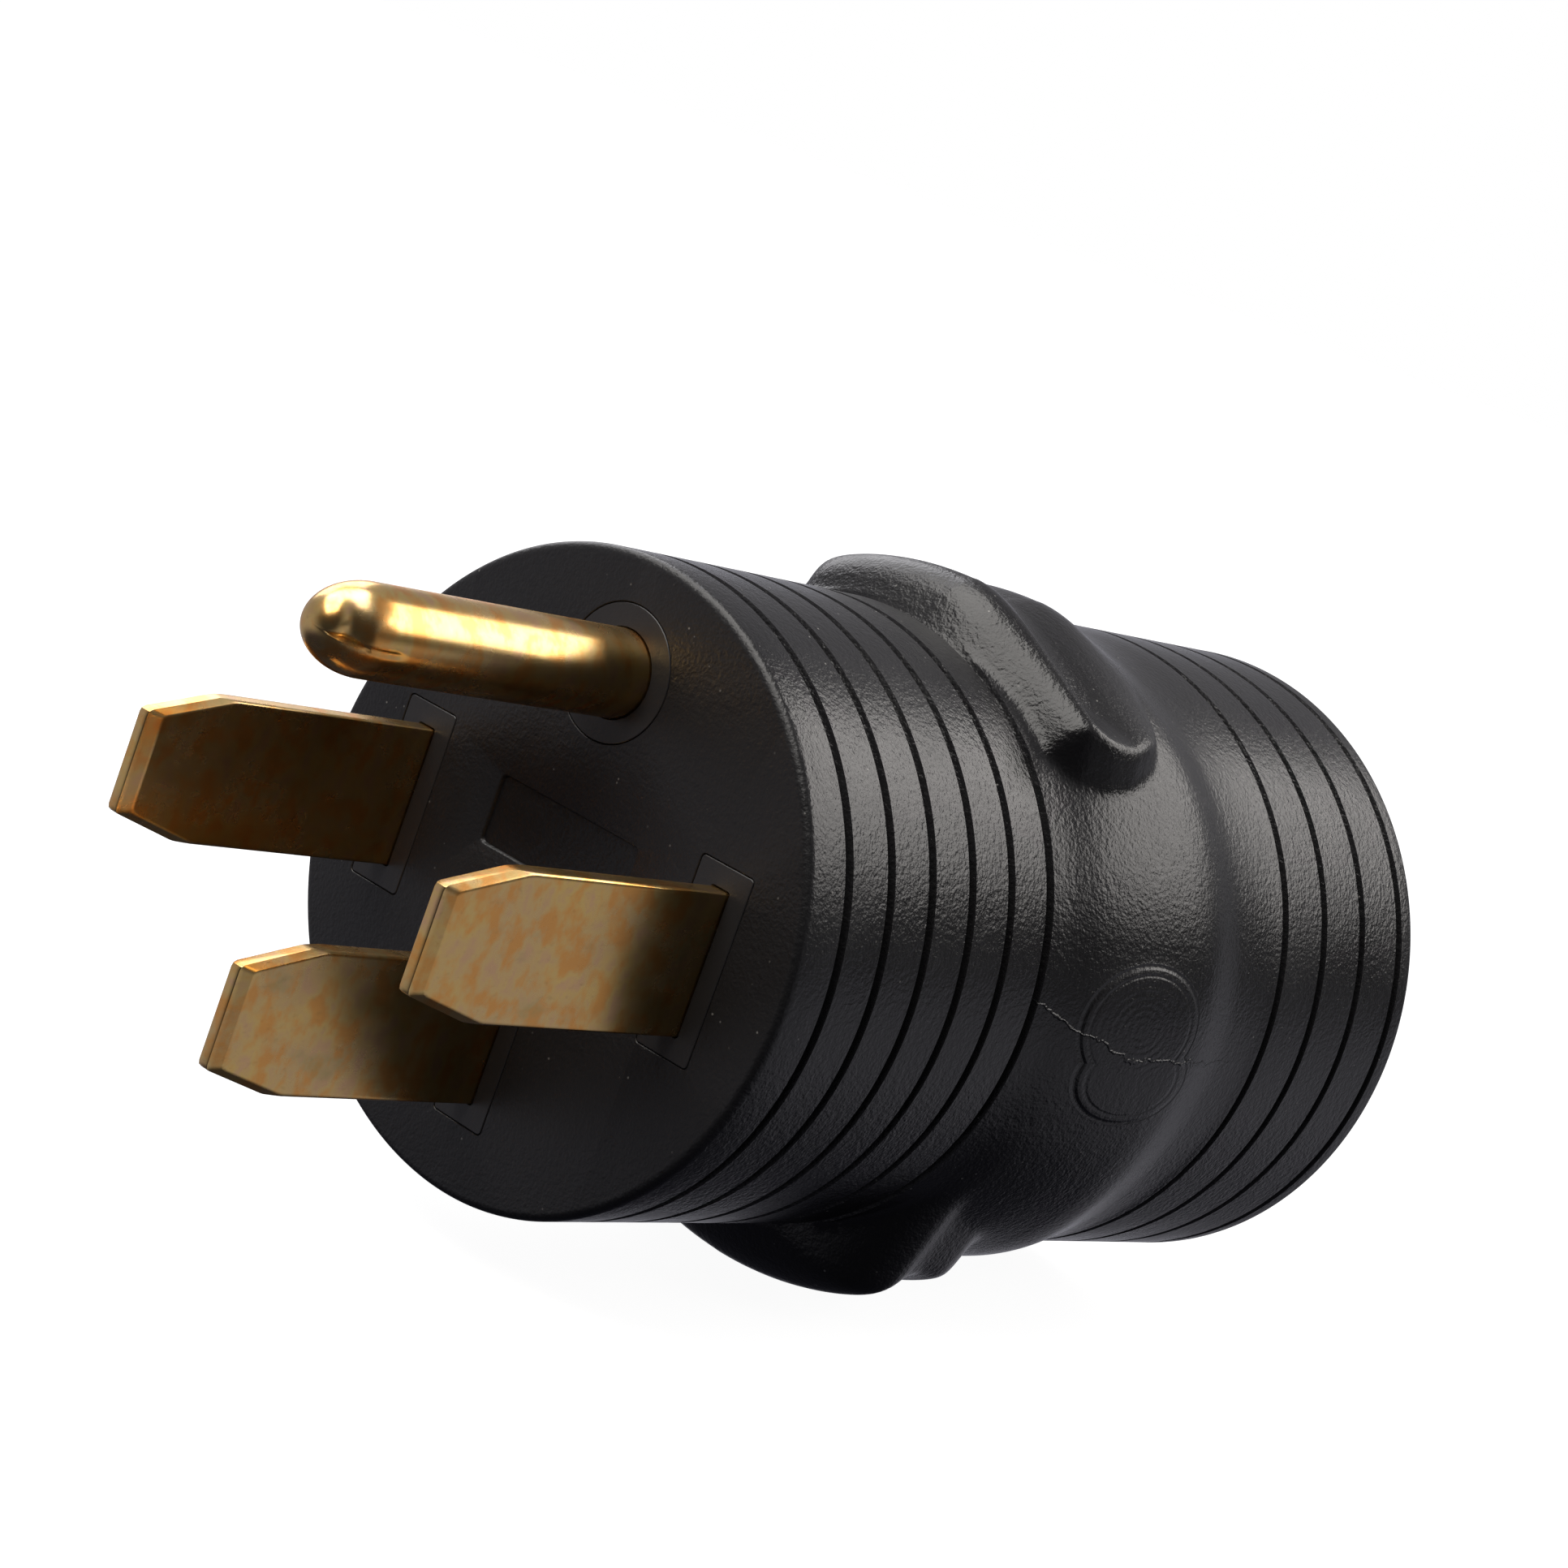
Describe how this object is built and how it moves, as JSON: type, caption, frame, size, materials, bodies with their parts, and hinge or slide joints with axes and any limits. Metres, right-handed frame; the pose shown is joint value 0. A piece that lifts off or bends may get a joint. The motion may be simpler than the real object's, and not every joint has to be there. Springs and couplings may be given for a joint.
{
  "type": "rv power adapter",
  "caption": "One-piece moulded RV power adapter: a brass-prong 50 A plug in front, a 30 A socket behind, a ribbed round black body and finger grips.",
  "frame": {"origin": "centre of the flat plug face, on the axis of the round body", "axes": "-Y out of the plug face along the prongs, +Y through the body to the socket face, +Z towards the ground pin"},
  "size_m": [0.0596, 0.1195, 0.0624],
  "materials": {
    "jacket": "fine pebbled satin black",
    "insert": "satin black",
    "core": "natural moulding",
    "aged_brass": "tarnished and mottled",
    "spring_brass": "bright rolled strip",
    "crimp": "tinned",
    "copper": "bare stranded copper",
    "vinyl_black": "smooth vinyl",
    "vinyl_white": "smooth vinyl",
    "vinyl_green": "smooth vinyl"
  },
  "bodies": {
    "root": {"outer_jacket": "jacket", "plug_insert_front": "insert", "plug_insert_back": "insert", "hot_blade_x": "aged_brass", "hot_blade_y": "aged_brass", "neutral_blade": "aged_brass", "ground_pin": "aged_brass", "core_filler": "core", "socket_insert_back": "insert", "socket_insert_face": "insert", "line_lead_conductor": "copper", "line_lead_insulation": "vinyl_black", "line_front_crimp": "crimp", "line_rear_crimp": "crimp", "neutral_lead_conductor": "copper", "neutral_lead_insulation": "vinyl_white", "neutral_front_crimp": "crimp", "neutral_rear_crimp": "crimp", "ground_lead_conductor": "copper", "ground_lead_insulation": "vinyl_green", "ground_front_crimp": "crimp", "ground_rear_crimp": "crimp", "line_contact": "spring_brass", "neutral_contact": "spring_brass", "ground_contact": "spring_brass"}
  },
  "joints": []
}
